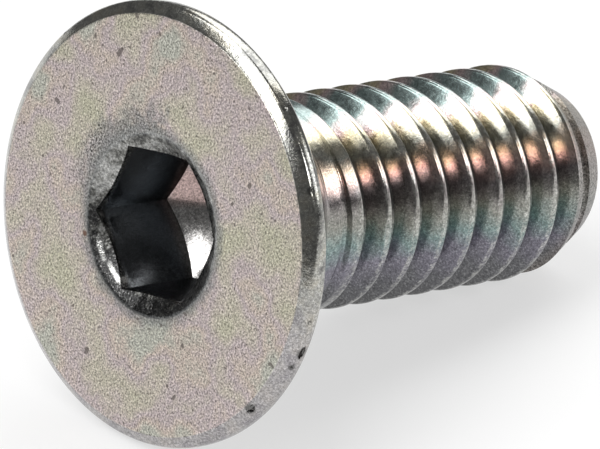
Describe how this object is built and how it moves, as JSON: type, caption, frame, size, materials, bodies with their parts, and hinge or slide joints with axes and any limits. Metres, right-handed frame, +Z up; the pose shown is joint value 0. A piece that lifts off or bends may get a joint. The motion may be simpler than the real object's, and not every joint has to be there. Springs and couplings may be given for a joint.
{
  "type": "countersunk socket screw",
  "caption": "Short zinc-plated machine screw with a flat countersunk head, a hexagon socket and a thread that runs up to a short neck.",
  "frame": {"origin": "on the table under the middle of the lying screw's bounding box", "axes": "+X from the head towards the tip, level; +Z up; the screw's own axis dips about 13 degrees below +X, because it rests on the rim of its head and the last crest of its thread"},
  "size_m": [0.0108, 0.0078, 0.0077],
  "materials": {
    "zinc_plated_steel": "zinc plated and clear passivated, faintly iridescent, matte on the head face"
  },
  "bodies": {
    "root": {"screw": "zinc_plated_steel"}
  },
  "joints": []
}
